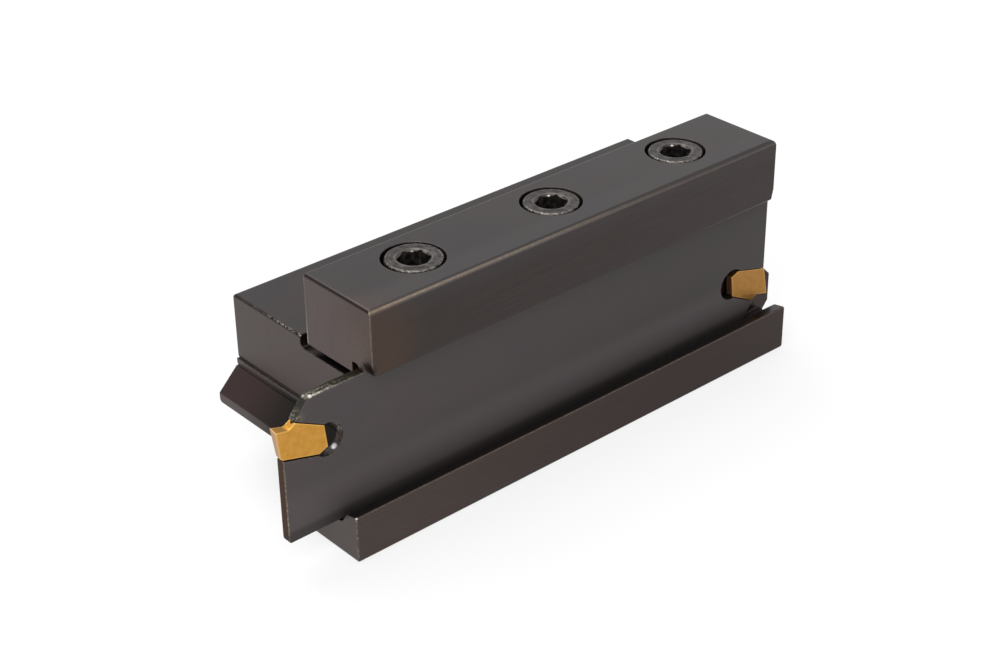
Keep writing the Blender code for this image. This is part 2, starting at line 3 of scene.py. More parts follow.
import bmesh
import bpy
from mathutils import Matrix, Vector


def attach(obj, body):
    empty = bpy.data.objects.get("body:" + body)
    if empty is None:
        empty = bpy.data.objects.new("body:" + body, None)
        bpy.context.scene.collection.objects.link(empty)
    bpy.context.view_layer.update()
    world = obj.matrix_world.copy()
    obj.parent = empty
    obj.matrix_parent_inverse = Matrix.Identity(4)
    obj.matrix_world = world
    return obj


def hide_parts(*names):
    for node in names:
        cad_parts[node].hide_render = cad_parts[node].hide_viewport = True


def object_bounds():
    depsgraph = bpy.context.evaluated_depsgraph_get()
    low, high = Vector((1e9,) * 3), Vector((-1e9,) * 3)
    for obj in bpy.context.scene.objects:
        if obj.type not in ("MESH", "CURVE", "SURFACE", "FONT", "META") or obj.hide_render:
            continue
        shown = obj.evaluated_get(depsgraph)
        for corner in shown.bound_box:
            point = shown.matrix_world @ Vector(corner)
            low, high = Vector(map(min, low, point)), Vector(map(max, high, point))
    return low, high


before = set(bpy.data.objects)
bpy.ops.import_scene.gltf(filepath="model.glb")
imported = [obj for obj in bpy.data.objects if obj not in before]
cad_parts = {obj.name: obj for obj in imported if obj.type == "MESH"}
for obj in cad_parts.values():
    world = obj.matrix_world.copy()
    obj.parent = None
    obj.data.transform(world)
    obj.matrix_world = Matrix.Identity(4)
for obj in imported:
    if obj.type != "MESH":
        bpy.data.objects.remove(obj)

# Parting-off tool holder: the looks. Lengths in the dictionaries are millimetres.
mm = 0.001
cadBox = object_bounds()

# Camera

cameraValues = dict(
    place=(-201.647, -211.353, 190.070),
    turn=(59.874, 0.607, -41.394),  # degrees
    lens=70.64,
    sensor=36,
    near=1,
    far=10000,
)


def makeCamera(values):
    bpy.ops.object.camera_add(location=Vector(values["place"]) * mm)
    camera = bpy.context.object
    camera.name = "photoCamera"
    camera.rotation_euler = [math.radians(angle) for angle in values["turn"]]
    camera.data.sensor_width = values["sensor"]
    camera.data.lens = values["lens"]
    camera.data.clip_start = values["near"] * mm
    camera.data.clip_end = values["far"] * mm
    bpy.context.scene.camera = camera


makeCamera(cameraValues)
print("camera placed")

# Selection and mesh helpers

fineValues = dict(
    cut=0.0001,  # within which a straight cut takes a vertex as lying on it
    merge=0.002,
    near=0.01,  # within which a vertex stands at the height that is looked for
    flatAngle=0.5,  # degrees between faces that count as one flat face
    spread=0.02,  # of a bevel's outer corners
    normalWeight=50,
)


def deselectAll():
    if bpy.context.object and bpy.context.object.mode != "OBJECT":
        bpy.ops.object.mode_set(mode="OBJECT")
    bpy.ops.object.select_all(action="DESELECT")


def makeActive(piece):
    deselectAll()
    piece.select_set(True)
    bpy.context.view_layer.objects.active = piece


def editPiece(piece, kind="FACE"):
    makeActive(piece)
    bpy.ops.object.mode_set(mode="EDIT")
    bpy.ops.mesh.select_mode(type=kind)
    bpy.ops.mesh.select_all(action="DESELECT")


def leaveEdit():
    bpy.ops.object.mode_set(mode="OBJECT")


def pick(piece, kind, test):
    # selects the edit mesh's verts, edges or faces that pass a test
    shape = bmesh.from_edit_mesh(piece.data)
    shape.normal_update()
    for part in getattr(shape, kind):
        if test(part):
            part.select_set(True)
    shape.select_flush_mode()
    bmesh.update_edit_mesh(piece.data)


def slicePiece(piece, point, normal, keepBelow=False):
    # one straight cut through the whole piece, which may take away what lies past it
    editPiece(piece)
    bpy.ops.mesh.select_all(action="SELECT")
    bpy.ops.mesh.bisect(
        plane_co=Vector(point) * mm, plane_no=normal, use_fill=keepBelow, clear_outer=keepBelow,
        threshold=fineValues["cut"] * mm,
    )
    leaveEdit()


def addModifier(piece, kind, **settings):
    step = piece.modifiers.new(kind.lower(), kind)
    for name, value in settings.items():
        setattr(step, name, value)
    makeActive(piece)
    bpy.ops.object.modifier_apply(modifier=step.name)


def carve(piece, tool, operation="DIFFERENCE"):
    addModifier(piece, "BOOLEAN", operation=operation, object=tool, solver="EXACT")
    bpy.data.objects.remove(tool)


def settleOrigin(piece):
    makeActive(piece)
    bpy.ops.object.transform_apply(location=True, rotation=True, scale=True)


def turnedBar(radius, low, high, sides, topRadius=None):
    # an upright bar or cone between two heights, as a tool or a blank
    deselectAll()
    bpy.ops.mesh.primitive_cone_add(
        vertices=sides, radius1=radius * mm, radius2=(radius if topRadius is None else topRadius) * mm,
        depth=(high - low) * mm, location=(0, 0, (low + high) / 2 * mm),
    )
    bar = bpy.context.object
    settleOrigin(bar)
    return bar


def roundEdges(piece, radius, segments, sharp=28):
    # the same radius on every edge that turns by the sharp angle or more, in degrees
    shape = bmesh.new()
    shape.from_mesh(piece.data)
    weight = shape.edges.layers.float.new("bevel_weight_edge")
    for edge in shape.edges:
        if len(edge.link_faces) == 2 and edge.calc_face_angle() >= math.radians(sharp):
            edge[weight] = 1.0
    shape.to_mesh(piece.data)
    shape.free()
    addModifier(
        piece, "BEVEL", width=radius * mm, segments=segments, limit_method="WEIGHT",
        use_clamp_overlap=False, miter_outer="MITER_ARC", spread=fineValues["spread"] * mm,
    )


def smoothShade(piece, angle=35):
    makeActive(piece)
    bpy.ops.object.shade_smooth_by_angle(angle=math.radians(angle))
    addModifier(piece, "WEIGHTED_NORMAL", weight=fineValues["normalWeight"], keep_sharp=True)


def refinedCopy(nodeName, pieceName):
    # the CAD node's own shape as a merged mesh whose flat faces are whole
    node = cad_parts[nodeName]
    piece = bpy.data.objects.new(pieceName, node.data.copy())
    piece.data.name = pieceName
    piece.data.materials.clear()
    bpy.context.scene.collection.objects.link(piece)
    editPiece(piece)
    bpy.ops.mesh.select_all(action="SELECT")
    bpy.ops.mesh.customdata_custom_splitnormals_clear()
    bpy.ops.mesh.remove_doubles(threshold=fineValues["merge"] * mm)
    bpy.ops.mesh.dissolve_limited(angle_limit=math.radians(fineValues["flatAngle"]))
    leaveEdit()
    return piece


# Stage: pale floor, white surroundings, soft lamps

stageValues = dict(
    floorSize=3000,
    floorColour=(0.86, 0.86, 0.86, 1),
    floorGlow=0.72,  # share of the floor that shows as plain white to the white rays
    roomGlow=0.45,
    whiteRays=("Is Camera Ray", "Is Glossy Ray", "Is Transmission Ray"),
    lamps=dict(
        key=dict(place=(-520, -420, 620), size=600, power=5.5),
        top=dict(place=(-20, 320, 760), size=700, power=4.6),
        fill=dict(place=(430, -560, 130), size=400, power=0.9),
    ),
)


def plainNodes(owner):
    owner.use_nodes = True
    tree = owner.node_tree
    tree.nodes.clear()
    return tree


def whiteFor(tree, rays, share):
    # the share on the rays that are named, and 0 on the others
    path = tree.nodes.new("ShaderNodeLightPath")
    total = path.outputs[rays[0]]
    for ray in rays[1:]:
        both = tree.nodes.new("ShaderNodeMath")
        both.operation = "ADD"
        both.use_clamp = True
        tree.links.new(total, both.inputs[0])
        tree.links.new(path.outputs[ray], both.inputs[1])
        total = both.outputs[0]
    scaled = tree.nodes.new("ShaderNodeMath")
    scaled.operation = "MULTIPLY"
    scaled.inputs[1].default_value = share
    tree.links.new(total, scaled.inputs[0])
    return scaled.outputs[0]


def makeFloor(values):
    deselectAll()
    bpy.ops.mesh.primitive_plane_add(size=values["floorSize"] * mm, location=(0, 0, cadBox[0].z))
    floor = bpy.context.object
    floor.name = "paleFloor"
    settleOrigin(floor)
    material = bpy.data.materials.new("paleFloor")
    tree = plainNodes(material)
    matt = tree.nodes.new("ShaderNodeBsdfDiffuse")
    matt.inputs["Color"].default_value = values["floorColour"]
    glow = tree.nodes.new("ShaderNodeEmission")
    glow.inputs["Color"].default_value = (1, 1, 1, 1)
    blend = tree.nodes.new("ShaderNodeMixShader")
    tree.links.new(whiteFor(tree, values["whiteRays"], values["floorGlow"]), blend.inputs[0])
    tree.links.new(matt.outputs[0], blend.inputs[1])
    tree.links.new(glow.outputs[0], blend.inputs[2])
    out = tree.nodes.new("ShaderNodeOutputMaterial")
    tree.links.new(blend.outputs[0], out.inputs["Surface"])
    floor.data.materials.append(material)


def makeRoom(values):
    world = bpy.data.worlds.new("whiteRoom")
    bpy.context.scene.world = world
    tree = plainNodes(world)
    dim = tree.nodes.new("ShaderNodeBackground")
    dim.inputs["Strength"].default_value = values["roomGlow"]
    white = tree.nodes.new("ShaderNodeBackground")
    for part in (dim, white):
        part.inputs["Color"].default_value = (1, 1, 1, 1)
    blend = tree.nodes.new("ShaderNodeMixShader")
    tree.links.new(whiteFor(tree, values["whiteRays"], 1), blend.inputs[0])
    tree.links.new(dim.outputs[0], blend.inputs[1])
    tree.links.new(white.outputs[0], blend.inputs[2])
    out = tree.nodes.new("ShaderNodeOutputWorld")
    tree.links.new(blend.outputs[0], out.inputs["Surface"])


def makeLamps(values):
    for name, lamp in values["lamps"].items():
        bpy.ops.object.light_add(type="AREA", location=Vector(lamp["place"]) * mm)
        light = bpy.context.object
        light.name = name + "Lamp"
        light.data.shape = "SQUARE"
        light.data.size = lamp["size"] * mm
        light.data.energy = lamp["power"]
        light.rotation_euler = (-light.location).to_track_quat("-Z", "Y").to_euler()


makeFloor(stageValues)
makeRoom(stageValues)
makeLamps(stageValues)
bpy.context.scene.view_settings.view_transform = "Standard"
print("stage lit")

# Shader sums

paintValues = dict(
    facing=(0.8, 0.95),  # from 0 to 1 over this much of a face's turn to a side
    edgeSamples=6,
    edgeFade=(0.1, 0.55),
)


class Socket:
    # an output socket that Python sums can use
    def __init__(self, paint, output):
        self.paint = paint
        self.output = output

    def combine(self, operation, *others):
        return self.paint.add("ShaderNodeMath", dict(operation=operation), dict(enumerate(others)))

    def __add__(self, other):
        return self.combine("ADD", self, other)

    def __sub__(self, other):
        return self.combine("SUBTRACT", self, other)

    def __rsub__(self, other):
        return self.combine("SUBTRACT", other, self)

    def __mul__(self, other):
        return self.combine("MULTIPLY", self, other)

    __radd__ = __add__
    __rmul__ = __mul__


class Paint:
    # one material and its nodes
    def __init__(self, name):
        self.material = bpy.data.materials.new(name)
        self.tree = plainNodes(self.material)
        place = self.add("ShaderNodeTexCoord", {}, {}, "Object")
        self.place = self.vector("SCALE", place, Scale=1 / mm)
        normal = self.add("ShaderNodeTexCoord", {}, {}, "Normal")
        parts = {index: self.axis(normal, index) for index in range(3)}
        parts[0] = parts[0].combine("ABSOLUTE", parts[0])  # alike at both ends
        self.normal = self.add("ShaderNodeCombineXYZ", {}, parts)

    def add(self, kind, settings, values, output=0):
        node = self.tree.nodes.new(kind)
        for name, value in settings.items():
            setattr(node, name, value)
        for name, value in values.items():
            if isinstance(value, Socket):
                self.tree.links.new(value.output, node.inputs[name])
            else:
                node.inputs[name].default_value = value
        return Socket(self, node.outputs[output])

    def vector(self, operation, first, second=None, output=0, **more):
        values = {0: first, **more}
        if second is not None:
            values[1] = second
        return self.add("ShaderNodeVectorMath", dict(operation=operation), values, output)

    def axis(self, vector, index):
        return self.add("ShaderNodeSeparateXYZ", {}, {0: vector}, index)

    def repeat(self, pitch):
        # counts the place along X from the nearest piece of a row
        along = self.axis(self.place, 0)
        wrapped = along.combine("WRAP", along, pitch / 2, -pitch / 2)
        values = {0: wrapped, 1: self.axis(self.place, 1), 2: self.axis(self.place, 2)}
        self.place = self.add("ShaderNodeCombineXYZ", {}, values)

    def noise(self, scales, detail=3, roughness=0.55, shift=0.0):
        spot = self.vector("ADD", self.vector("MULTIPLY", self.place, scales), (shift,) * 3)
        values = {"Vector": spot, "Scale": 1, "Detail": detail, "Roughness": roughness}
        return self.add("ShaderNodeTexNoise", {}, values)

    def fade(self, value, low, high, start=0.0, end=1.0):
        values = {0: value, 1: low, 2: high, 3: start, 4: end}
        return self.add("ShaderNodeMapRange", dict(interpolation_type="SMOOTHSTEP"), values)

    def mixColour(self, share, first, second, blend="MIX"):
        if not isinstance(second, Socket):
            second = (*second, 1)
        values = {0: share, 6: first, 7: second}
        return self.add("ShaderNodeMix", dict(data_type="RGBA", blend_type=blend), values, 2)

    def mixNumber(self, share, first, second):
        return self.add("ShaderNodeMix", dict(data_type="FLOAT"), {0: share, 2: first, 3: second})

    def facing(self, side, limits=paintValues["facing"]):
        # 1 on faces that look to a side
        return self.fade(self.vector("DOT_PRODUCT", self.normal, side, 1), *limits)

    def nearLine(self, axis, point, width, ring=0.0, soft=0.35):
        # 1 on a line along an axis, or on a ring round it, falling to 0 within the width
        # without an axis the line is a spot
        flat = tuple(0.0 if index == axis else 1.0 for index in range(3))
        middle = tuple(share * value for share, value in zip(flat, point))
        away = self.vector("DISTANCE", self.vector("MULTIPLY", self.place, flat), middle, 1)
        if ring:
            away = away - ring
            away = away.combine("ABSOLUTE", away)
        return self.fade(away, width * soft, width, 1.0, 0.0)

    def edges(self, distance):
        # 1 on an outside edge, falling to 0 within the distance
        settings = dict(inside=True, only_local=True, samples=paintValues["edgeSamples"])
        inner = self.add("ShaderNodeAmbientOcclusion", settings, {"Distance": distance * mm}, "AO")
        return self.fade(1 - inner, *paintValues["edgeFade"])

    def bump(self, height, strength, distance):
        values = {"Height": height, "Strength": strength, "Distance": distance * mm}
        return self.add("ShaderNodeBump", {}, values)

    def finish(self, **values):
        shader = self.tree.nodes.new("ShaderNodeBsdfPrincipled")
        for name, value in values.items():
            socket = shader.inputs[name.replace("_", " ")]
            if isinstance(value, Socket):
                self.tree.links.new(value.output, socket)
            else:
                socket.default_value = value
        out = self.tree.nodes.new("ShaderNodeOutputMaterial")
        self.tree.links.new(shader.outputs[0], out.inputs["Surface"])
        return self.material


lineWords = ("axis", "point", "width", "ring", "soft")  # what a mark says of its line


def addMarks(paint, tone, marks, specks):
    # worn and stained lines and spots, and painted shade and highlights, each with its own colour
    for mark in marks:
        line = {name: mark[name] for name in lineWords if name in mark}
        share = paint.nearLine(**line) * mark["strength"]
        if "side" in mark:  # only on faces that look to this side
            share = share * paint.facing(mark["side"])
        if "span" in mark:  # fades along the line, from its first end to its second
            along = paint.axis(paint.place, mark["axis"])
            share = share * paint.fade(along, *mark["span"], *mark["ends"])
        broken = mark.get("broken", 0.0)
        share = share * (1 - broken + specks * broken)
        tone = paint.mixColour(share, tone, mark["colour"])
    return tone


# Blackened steel

surfaceValues = dict(
    cloudScales=(0.09, 0.12, 0.12),  # of the noise, per millimetre along X, Y and Z
    clouds=dict(detail=4),
    alongLines=dict(scales=(0.12, 7.0, 7.0), detail=2, shift=3),
    uprightLines=dict(scales=(5.0, 5.0, 0.25), detail=2, shift=9),
    grain=dict(scales=(5.5, 5.5, 5.5), detail=3, roughness=0.7, shift=17),
    specks=dict(scales=(1.9, 1.9, 1.9), detail=5, roughness=0.75, shift=31),
    cloudFade=(0.35, 0.65), lineFade=(0.25, 0.75), grainFade=(0.3, 0.7), speckFade=(0.47, 0.6),
    driftSpan=(-62, 48),  # along X, from end to end
    edgeReach=0.35,
    grainGloss=0.10, cloudGloss=0.06,
    lineRelief=0.6, grainRelief=0.4, reliefDepth=0.01,
)
# cool and warm are the clouds' two tones; rubbed edges take the edge tone, at the edge share
# a mark is a line along an axis, a ring round one or a spot, and broken is its share of specks
steelValues = dict(
    block=dict(
        cool=(0.030, 0.0255, 0.027), warm=(0.036, 0.0275, 0.025), edgeTone=(0.30, 0.26, 0.22), gloss=0.33,
        metal=0.9, specular=0.5, lines=0.10, mottle=0.10, edgeShare=0.40, relief=0.14, drift=(1.02, 0.78),
        # tones by the side each face looks to: partly each face's own finish, partly painted light and
        # shade for how light falls on that side
        faces=[
            dict(side=(1, 0, 0), colour=(0.074, 0.058, 0.055), gloss=0.42),
            dict(side=(0.707, 0, 0.707), limits=(0.93, 0.98), colour=(0.038, 0.024, 0.023), gloss=0.6),
            dict(side=(0, -1, 0), colour=(0.0417, 0.0280, 0.0256), gloss=0.33),
            dict(side=(0, -1, 0), colour=(0.0600, 0.0462, 0.0402), gloss=0.33, span=(-56, 34)),
        ],
        marks=[
            # upper edge of the milled end: a painted dark line for the shaded rounding, then wear
            dict(axis=1, point=(-46.15, 0, 31.25), width=0.5, strength=0.75,
                 colour=(0.016, 0.012, 0.010)),
            dict(axis=1, point=(-46.2, 0, 31.3), width=0.28, strength=0.8, broken=1.0,
                 span=(15, 32), ends=(1.0, 0.1), colour=(0.34, 0.31, 0.27)),
            # jaw: upright corner, top front edge
            dict(axis=2, point=(-51.9, -4.1, 0), width=0.24, strength=0.6, broken=0.85,
                 colour=(0.28, 0.24, 0.20)),
            dict(axis=0, point=(0, -4.05, 8.65), width=0.22, strength=0.25, broken=0.5,
                 colour=(0.24, 0.18, 0.13)),
            # painted shadow on the nose, behind the blade
            dict(axis=1, point=(-49.3, 0, 15.3), width=4.6, soft=0.85, strength=1.0, broken=0.12,
                 span=(15, 31), ends=(1.0, 0.0), colour=(0.008, 0.008, 0.006)),
            # jaw: crest, and a painted highlight on the front corner
            dict(axis=0, point=(0, -1.7, 8.3), width=0.25, strength=0.35, broken=0.5,
                 colour=(0.30, 0.22, 0.15)),
            dict(axis=None, point=(-51.9, -4.1, 8.7), width=0.35, strength=0.7,
                 colour=(0.7, 0.65, 0.58)),
        ],
    ),
    clamp=dict(
        cool=(0.036, 0.032, 0.034), warm=(0.040, 0.033, 0.031), edgeTone=(0.36, 0.31, 0.26), gloss=0.32,
        metal=0.9, specular=0.5, lines=0.10, mottle=0.07, edgeShare=0.35, relief=0.12,
        # darker front and lighter ends: partly each face's own finish, partly painted light and shade
        # for how light falls on that side
        faces=[
            dict(side=(0, -1, 0), colour=(0.042, 0.034, 0.032), gloss=0.34),
            dict(side=(1, 0, 0), colour=(0.088, 0.067, 0.064), gloss=0.42),
        ],
        marks=[
            # a lighter strip in front of the screws, fading to the right, is painted light; lighter low
            # corner of the end
            dict(axis=0, point=(0, -0.6, 43.4), width=5.0, soft=0.3, strength=0.3,
                 span=(-46, 46), ends=(1.0, 0.5), colour=(0.066, 0.060, 0.064)),
            dict(axis=0, point=(0, 0.5, 34.5), width=8.0, soft=0.1, strength=0.8, side=(1, 0, 0),
                 colour=(0.120, 0.098, 0.097)),
            # brown bloom at the left end, and painted shade on the lip's end
            dict(axis=None, point=(-47.0, -2.65, 36.0), width=13.0, strength=0.75, broken=0.35,
                 colour=(0.074, 0.045, 0.031)),
            dict(axis=None, point=(-46.2, -1.8, 33.0), width=1.6, strength=0.85,
                 colour=(0.014, 0.010, 0.008)),
            # edges: top left, a painted dark line for the shaded rounding; top front, wear with a
            # painted highlight fading to the right; upright front, upright back
            dict(axis=1, point=(-46.15, 0, 43.3), width=0.42, strength=0.9,
                 colour=(0.014, 0.010, 0.008)),
            dict(axis=0, point=(0, -2.42, 43.22), width=0.34, strength=0.85, broken=0.3,
                 span=(-46, 30), ends=(1.0, 0.12), colour=(0.30, 0.24, 0.18)),
            dict(axis=2, point=(-46.15, -2.6, 0), width=0.24, strength=0.45, broken=0.5,
                 colour=(0.28, 0.22, 0.18)),
            dict(axis=2, point=(-46.15, 14.35, 0), width=0.35, strength=0.8, broken=0.4,
                 span=(31, 38), ends=(1.0, 0.2), colour=(0.45, 0.42, 0.36)),
        ],
    ),
    blade=dict(
        cool=(0.054, 0.047, 0.048), warm=(0.059, 0.049, 0.047), edgeTone=(0.26, 0.23, 0.18), gloss=0.50,
        metal=0.1, specular=0.2, lines=0.05, mottle=0.06, edgeShare=0.35, relief=0.05, drift=(0.95, 0.69),
        # tones by the side each face looks to: partly each face's own finish, partly painted light and
        # shade for how light falls on that side
        faces=[
            dict(side=(1, 0, 0), colour=(0.035, 0.013, 0.003), gloss=0.60),
            dict(side=(0, 0, 1), limits=(0.85, 0.95), colour=(0.009, 0.008, 0.003), gloss=0.45),
            dict(side=(0.755, 0, 0.656), limits=(0.97, 0.99), colour=(0.015, 0.014, 0.010),
                 gloss=0.55),
        ],
        marks=[
            # front face: painted light, a lighter band above the jaw's shade
            dict(axis=0, point=(0, 0, 12.0), width=5.2, soft=0.3, strength=0.85, side=(0, -1, 0),
                 span=(-50, 20), ends=(1.0, 0.75), colour=(0.067, 0.056, 0.057)),
            # worn end edge and worn top near the left end; painted highlights at the top left corner,
            # as bright spots and a speckled bright line along the upper front edge; worn specks on the
            # slanted jaw's top
            dict(axis=2, point=(-62.08, 0.02, 0), width=0.22, strength=0.75, broken=0.8,
                 span=(5, 20), ends=(1.0, 0.6), colour=(0.32, 0.28, 0.22)),
            dict(axis=0, point=(0, 0.5, 31.6), width=0.9, strength=0.75, broken=1.0,
                 span=(-57, -46), ends=(1.0, 0.0), colour=(0.22, 0.19, 0.15)),
            dict(axis=None, point=(-56.3, 0.1, 31.5), width=0.45, strength=1.0, broken=0.25,
                 colour=(0.80, 0.77, 0.70)),
            dict(axis=None, point=(-56.8, 1.2, 31.2), width=0.38, strength=0.8, broken=0.4,
                 colour=(0.60, 0.56, 0.48)),
            dict(axis=0, point=(0, 0.02, 31.5), width=0.26, strength=1.0, broken=0.8,
                 span=(-57, -50), ends=(1.0, 0.1), colour=(0.70, 0.66, 0.58)),
            dict(axis=None, point=(-59.3, 0.9, 28.2), width=2.4, strength=0.75, broken=1.0,
                 colour=(0.17, 0.16, 0.12)),
            # relief holes: painted shade on the rims and walls, specks, painted highlights inside the
            # left one
            dict(axis=1, point=(-53.5, 0, 22.4), ring=2.8, width=0.32, strength=0.95,
                 colour=(0.006, 0.005, 0.004)),
            dict(axis=1, point=(39.3, 0, 15.6), ring=2.8, width=0.32, strength=0.95,
                 colour=(0.006, 0.005, 0.004)),
            dict(axis=1, point=(-53.5, 0, 22.4), ring=2.8, width=0.32, strength=0.7, broken=1.0,
                 colour=(0.10, 0.085, 0.065)),
            dict(axis=None, point=(-50.8, 1.15, 23.2), width=1.1, soft=0.5, strength=0.85, broken=1.0,
                 colour=(0.30, 0.29, 0.27)),
            dict(axis=None, point=(-51.75, 0.95, 19.9), width=0.7, strength=1.0, broken=0.45,
                 colour=(0.75, 0.76, 0.80)),
            # lower edge, and painted shade at the foot
            dict(axis=0, point=(0, 0.05, 6.5), width=0.4, strength=0.5, broken=0.8,
                 colour=(0.10, 0.095, 0.06)),
            dict(axis=0, point=(0, 0, 7.2), width=1.8, strength=0.5, colour=(0.012, 0.010, 0.009)),
        ],
    ),
    screw=dict(
        cool=(0.018, 0.015, 0.014), warm=(0.082, 0.071, 0.067), edgeTone=(0.42, 0.40, 0.36), gloss=0.40,
        metal=0.85, specular=0.5, lines=0.0, mottle=0.35, edgeShare=0.25, relief=0.9,
        faces=[], pitch=29.9, cloudScales=(1.0, 1.0, 1.0),
        marks=[
            # painted shade in the socket, and wear with painted glints on its mouth's rim
            dict(axis=2, point=(0, 6.9, 0), width=2.7, soft=0.9, strength=0.9,
                 span=(42.9, 43.2), ends=(1.0, 0.0), colour=(0.010, 0.007, 0.005)),
            dict(axis=2, point=(0.17, 6.93, 0), ring=3.06, width=0.16, strength=0.5, broken=0.6,
                 colour=(0.30, 0.27, 0.25)),
            # head: worn rim, stains inside it, a painted highlight
            dict(axis=2, point=(0.17, 6.93, 0), ring=4.62, width=0.30, strength=0.6, broken=1.0,
                 colour=(0.40, 0.38, 0.34)),
            dict(axis=2, point=(0.17, 6.93, 0), ring=4.3, width=0.35, strength=0.75, broken=1.0,
                 colour=(0.012, 0.010, 0.009)),
            dict(axis=2, point=(0.17, 6.93, 0), ring=3.8, width=1.1, strength=0.9, broken=1.0,
                 colour=(0.012, 0.010, 0.009)),
            dict(axis=None, point=(1.55, 9.0, 43.1), width=0.38, strength=0.9, broken=0.5,
                 colour=(0.80, 0.80, 0.78)),
        ],
    ),
)


def blackenedSteel(name, look, surface=surfaceValues):
    paint = Paint(name)
    if "pitch" in look:  # alike pieces in a row share one piece's marks
        paint.repeat(look["pitch"])
    sideways = paint.axis(paint.place, 0)
    isEnd = paint.facing((1, 0, 0))
    clouds = paint.noise(look.get("cloudScales", surface["cloudScales"]), **surface["clouds"])
    alongLines = paint.noise(**surface["alongLines"])
    uprightLines = paint.noise(**surface["uprightLines"])
    grain = paint.noise(**surface["grain"])
    specks = paint.fade(paint.noise(**surface["specks"]), *surface["speckFade"])
    isWarm = paint.fade(clouds, *surface["cloudFade"])
    tone = paint.mixColour(isWarm, (*look["cool"], 1), look["warm"])
    gloss = look["gloss"]
    # each facing gets its own tone, partly the face's finish and partly painted light and shade
    for face in look["faces"]:
        share = paint.facing(face["side"], face.get("limits", paintValues["facing"]))
        if "span" in face:  # whole at the left end of the span, nothing past its right end
            share = share * paint.fade(sideways, *face["span"], 1.0, 0.0)
        tone = paint.mixColour(share, tone, face["colour"])
        gloss = paint.mixNumber(share, gloss, face["gloss"])
    lines = paint.mixNumber(isEnd, alongLines, uprightLines)
    shade = paint.fade(lines, *surface["lineFade"], 1 - look["lines"], 1 + look["lines"])
    shade = shade * paint.fade(grain, *surface["grainFade"], 1 - look["mottle"], 1 + look["mottle"])
    if "drift" in look:  # painted light: lighter to the left, darker to the right, as the light falls
        shade = shade * paint.fade(sideways, *surface["driftSpan"], *look["drift"])
    shades = paint.add("ShaderNodeCombineXYZ", {}, {0: shade, 1: shade, 2: shade})
    tone = paint.mixColour(1.0, tone, shades, "MULTIPLY")
    tone = paint.mixColour(paint.edges(surface["edgeReach"]) * specks * look["edgeShare"], tone, look["edgeTone"])
    tone = addMarks(paint, tone, look["marks"], specks)
    roughness = (grain - 0.5) * surface["grainGloss"] + (clouds - 0.5) * surface["cloudGloss"]
    roughness = roughness + (lines - 0.5) * look["lines"] + gloss
    height = lines * surface["lineRelief"] + grain * surface["grainRelief"]
    return paint.finish(
        Base_Color=tone, Metallic=look["metal"], Roughness=roughness,
        Specular_IOR_Level=look["specular"],
        Normal=paint.bump(height, look["relief"], surface["reliefDepth"]),
    )


blockSteel = blackenedSteel("blackenedBlockSteel", steelValues["block"])
clampSteel = blackenedSteel("blackenedClampSteel", steelValues["clamp"])
bladeSteel = blackenedSteel("blackenedBladeSteel", steelValues["blade"])
screwSteel = blackenedSteel("blackenedScrewSteel", steelValues["screw"])

# Gold nitride coating

coatValues = dict(
    clouds=dict(scales=(0.7, 0.7, 0.7), detail=5, roughness=0.65),
    grain=dict(scales=(9.0, 9.0, 9.0), detail=3, roughness=0.75, shift=5),
    cloudFade=(0.35, 0.65), grainFade=(0.55, 0.75), grainShare=0.35,
    topLimits=(0.5, 0.9), flankLimits=(0.75, 0.95),
    # on the inserts the edge tone is a painted highlight along the outer edges
    edgeReach=0.30, edgeShare=0.9, metal=0.85,
    grainGloss=0.2, relief=0.18, reliefDepth=0.015,
)
# per insert: its tones, and the bright edge tone that paints a highlight along the edges
coatingValues = dict(
    front=dict(
        gold=(0.50, 0.235, 0.030), pale=(0.56, 0.285, 0.050), flank=(0.40, 0.22, 0.11),
        groove=(0.36, 0.17, 0.02), edgeTone=(0.85, 0.52, 0.16), gloss=0.38,
    ),
    # the rear insert: the same coating as the front, in painted shade, every tone darker
    rear=dict(
        gold=(0.295, 0.140, 0.026), pale=(0.335, 0.163, 0.033), flank=(0.26, 0.15, 0.07),
        groove=(0.16, 0.08, 0.015), edgeTone=(0.66, 0.36, 0.13), gloss=0.38,
    ),
)


def goldCoating(name, look, coat=coatValues):
    paint = Paint(name)
    clouds = paint.noise(**coat["clouds"])
    grain = paint.noise(**coat["grain"])
    isPale = paint.fade(clouds, *coat["cloudFade"])
    isDark = paint.fade(grain, *coat["grainFade"]) * coat["grainShare"]
    tone = paint.mixColour(isPale, (*look["gold"], 1), look["pale"])
    tone = paint.mixColour(isDark, tone, look["groove"])
    # top faces in the groove tone and the ends in the flank tone: partly each face's finish, partly
    # painted light and shade
    tone = paint.mixColour(paint.facing((0, 0, 1), coat["topLimits"]), tone, look["groove"])
    tone = paint.mixColour(paint.facing((1, 0, 0), coat["flankLimits"]), tone, look["flank"])
    # a painted highlight along the outer edges
    tone = paint.mixColour(paint.edges(coat["edgeReach"]) * coat["edgeShare"], tone, look["edgeTone"])
    return paint.finish(
        Base_Color=tone, Metallic=coat["metal"],
        Roughness=(grain - 0.5) * coat["grainGloss"] + look["gloss"],
        Normal=paint.bump(grain, coat["relief"], coat["reliefDepth"]),
    )


frontCoating = goldCoating("goldCoatedCarbide", coatingValues["front"])
rearCoating = goldCoating("paintedShadeGoldCoatedCarbide", coatingValues["rear"])
print("materials made")

# Block, clamp bar, blade and inserts: the CAD shapes with scribed lines and finished edges

